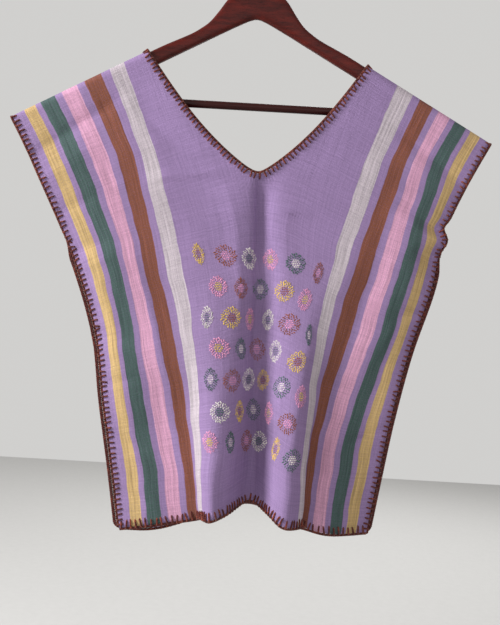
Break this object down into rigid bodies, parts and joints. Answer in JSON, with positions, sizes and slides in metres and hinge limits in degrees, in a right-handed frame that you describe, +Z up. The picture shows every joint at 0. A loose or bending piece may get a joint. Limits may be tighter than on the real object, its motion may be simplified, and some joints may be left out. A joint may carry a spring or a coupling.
{
  "type": "woven blouse on a hanger",
  "caption": "Sleeveless striped cotton blouse with a V neck, brocaded flowers and crocheted edging, hung on a wooden hanger.",
  "frame": {"origin": "inner top of the hanger's hook, where a rail carries it", "axes": "+X to the viewer's right as seen from the front, +Y from front to back, +Z up"},
  "size_m": [0.5852, 0.1061, 0.7506],
  "materials": {
    "cloth": "handwoven cotton, matt",
    "edging": "crocheted cotton yarn, matt",
    "hanger_wood": "dark stained wood, satin lacquer",
    "hook_steel": "polished"
  },
  "bodies": {
    "root": {"front_cloth": "cloth", "back_cloth": "cloth", "neck_edging": "edging", "hem_edging": "edging", "armhole_edging_left": "edging", "armhole_edging_right": "edging", "side_join_left": "edging", "side_join_right": "edging", "hanger_body": "hanger_wood", "trouser_bar": "hanger_wood", "hook": "hook_steel"}
  },
  "joints": []
}
